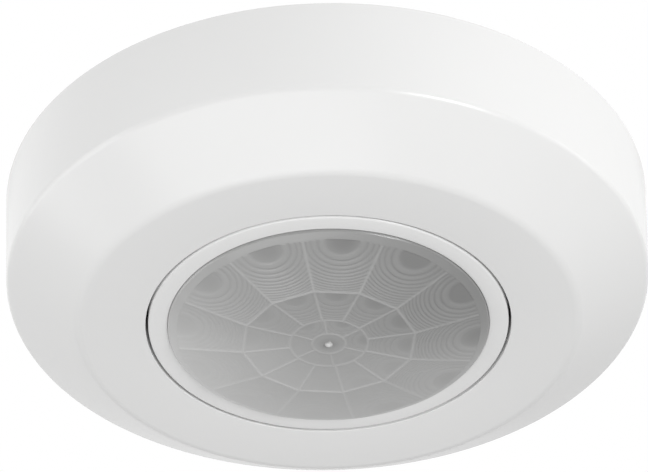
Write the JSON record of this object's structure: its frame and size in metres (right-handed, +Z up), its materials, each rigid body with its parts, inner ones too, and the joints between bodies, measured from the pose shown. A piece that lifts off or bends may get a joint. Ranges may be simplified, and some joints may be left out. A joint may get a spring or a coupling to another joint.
{
  "type": "ceiling motion sensor",
  "caption": "Round ceiling-mounted passive infrared motion sensor with a faceted dome lens, a pull-off cover and setting dials behind the lens.",
  "frame": {"origin": "middle of the mounting face, which lies against the ceiling", "axes": "+Z up into the ceiling, lens pointing down along -Z; +Y towards the cable entry"},
  "size_m": [0.12, 0.12, 0.0328],
  "materials": {
    "white_abs": "fine satin moulded ABS",
    "grey_lens": "translucent grey polyethylene with fine Fresnel grooves",
    "board_green": "glass-epoxy board with solder mask",
    "black_plastic": "moulded component case",
    "rubber": "matte moulded",
    "steel": "zinc-plated or drawn",
    "yellow_film": "moulded box",
    "blue_coat": "dipped epoxy",
    "ferrite": "sintered ferrite",
    "grey_plastic": "moulded",
    "dial_grey": "moulded, light grey",
    "silicon": "coated silicon window",
    "clear_epoxy": "clear cast epoxy",
    "red_epoxy": "tinted cast epoxy"
  },
  "bodies": {
    "base": {"mounting_plate": "white_abs", "cable_grommet": "rubber", "power_board": "board_green", "relay": "black_plastic", "suppression_capacitor": "yellow_film", "smoothing_capacitor": "grey_plastic", "fuse": "black_plastic", "choke": "ferrite", "varistor": "blue_coat", "board_header": "black_plastic", "terminal_block": "grey_plastic", "head_carrier": "white_abs", "carrier_screw_1": "steel", "carrier_screw_2": "steel", "carrier_screw_3": "steel", "carrier_screw_4": "steel", "sensor_board": "board_green", "board_screw_1": "steel", "board_screw_2": "steel", "pyro_sensor": "steel", "pyro_window": "silicon", "indicator_led": "red_epoxy", "light_sensor": "clear_epoxy", "lux_trimmer": "grey_plastic", "time_trimmer": "grey_plastic", "range_trimmer": "grey_plastic", "trim_plate": "white_abs"},
    "cover": {"housing_cover": "white_abs"},
    "lens_unit": {"lens": "grey_lens", "lens_gasket": "rubber", "bezel_ring": "white_abs"},
    "lux_knob": {"lux_dial": "dial_grey"},
    "time_knob": {"time_dial": "dial_grey"},
    "range_knob": {"range_dial": "dial_grey"},
    "clamp_screw_1": {"terminal_screw_1": "steel"},
    "clamp_screw_2": {"terminal_screw_2": "steel"},
    "clamp_screw_3": {"terminal_screw_3": "steel"},
    "clamp_screw_4": {"terminal_screw_4": "steel"}
  },
  "joints": [
    {"name": "cover_pull", "type": "slide", "parent": "base", "child": "cover", "axis": [0, 0, -1], "range_m": [0, 0.04]},
    {"name": "lens_pull", "type": "slide", "parent": "base", "child": "lens_unit", "axis": [0, 0, -1], "range_m": [0, 0.02]},
    {"name": "lux_turn", "type": "hinge", "parent": "base", "child": "lux_knob", "pos_m": [-0.0155, -0.013, -0.0197], "axis": [0, 0, -1], "range_deg": [-135, 135]},
    {"name": "time_turn", "type": "hinge", "parent": "base", "child": "time_knob", "pos_m": [0, -0.02, -0.0197], "axis": [0, 0, -1], "range_deg": [-135, 135]},
    {"name": "range_turn", "type": "hinge", "parent": "base", "child": "range_knob", "pos_m": [0.0155, -0.013, -0.0197], "axis": [0, 0, -1], "range_deg": [-135, 135]},
    {"name": "clamp_turn_1", "type": "hinge", "parent": "base", "child": "clamp_screw_1", "pos_m": [-0.012, 0.043, -0.0167], "axis": [0, 0, -1], "continuous": true},
    {"name": "clamp_turn_2", "type": "hinge", "parent": "base", "child": "clamp_screw_2", "pos_m": [-0.004, 0.043, -0.0167], "axis": [0, 0, -1], "continuous": true},
    {"name": "clamp_turn_3", "type": "hinge", "parent": "base", "child": "clamp_screw_3", "pos_m": [0.004, 0.043, -0.0167], "axis": [0, 0, -1], "continuous": true},
    {"name": "clamp_turn_4", "type": "hinge", "parent": "base", "child": "clamp_screw_4", "pos_m": [0.012, 0.043, -0.0167], "axis": [0, 0, -1], "continuous": true}
  ]
}
